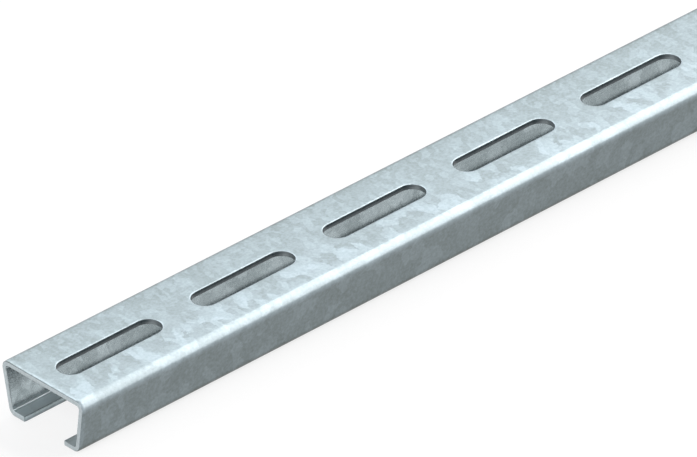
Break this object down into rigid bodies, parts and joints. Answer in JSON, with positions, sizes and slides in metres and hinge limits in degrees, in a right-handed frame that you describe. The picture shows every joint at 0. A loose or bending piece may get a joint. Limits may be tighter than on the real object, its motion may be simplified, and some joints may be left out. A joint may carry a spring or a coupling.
{
  "type": "c-section mounting rail",
  "caption": "Perforated C-section mounting rail of zinc-coated steel sheet, with a row of long slots through the web, leaning side walls and lips that face each other across the mouth.",
  "frame": {"origin": "centre of the rail's length and width, on the plane of the lips' outer faces", "axes": "+X along the rail, away from the end nearest the camera; +Z out through the slotted web, away from the mouth; +Y across, towards the side wall farther from the camera"},
  "size_m": [0.5, 0.035, 0.018],
  "materials": {
    "zinc_coated_steel": "hot-dip zinc coat, pale blue-grey with a soft mottled spangle"
  },
  "bodies": {
    "root": {"rail": "zinc_coated_steel"}
  },
  "joints": []
}
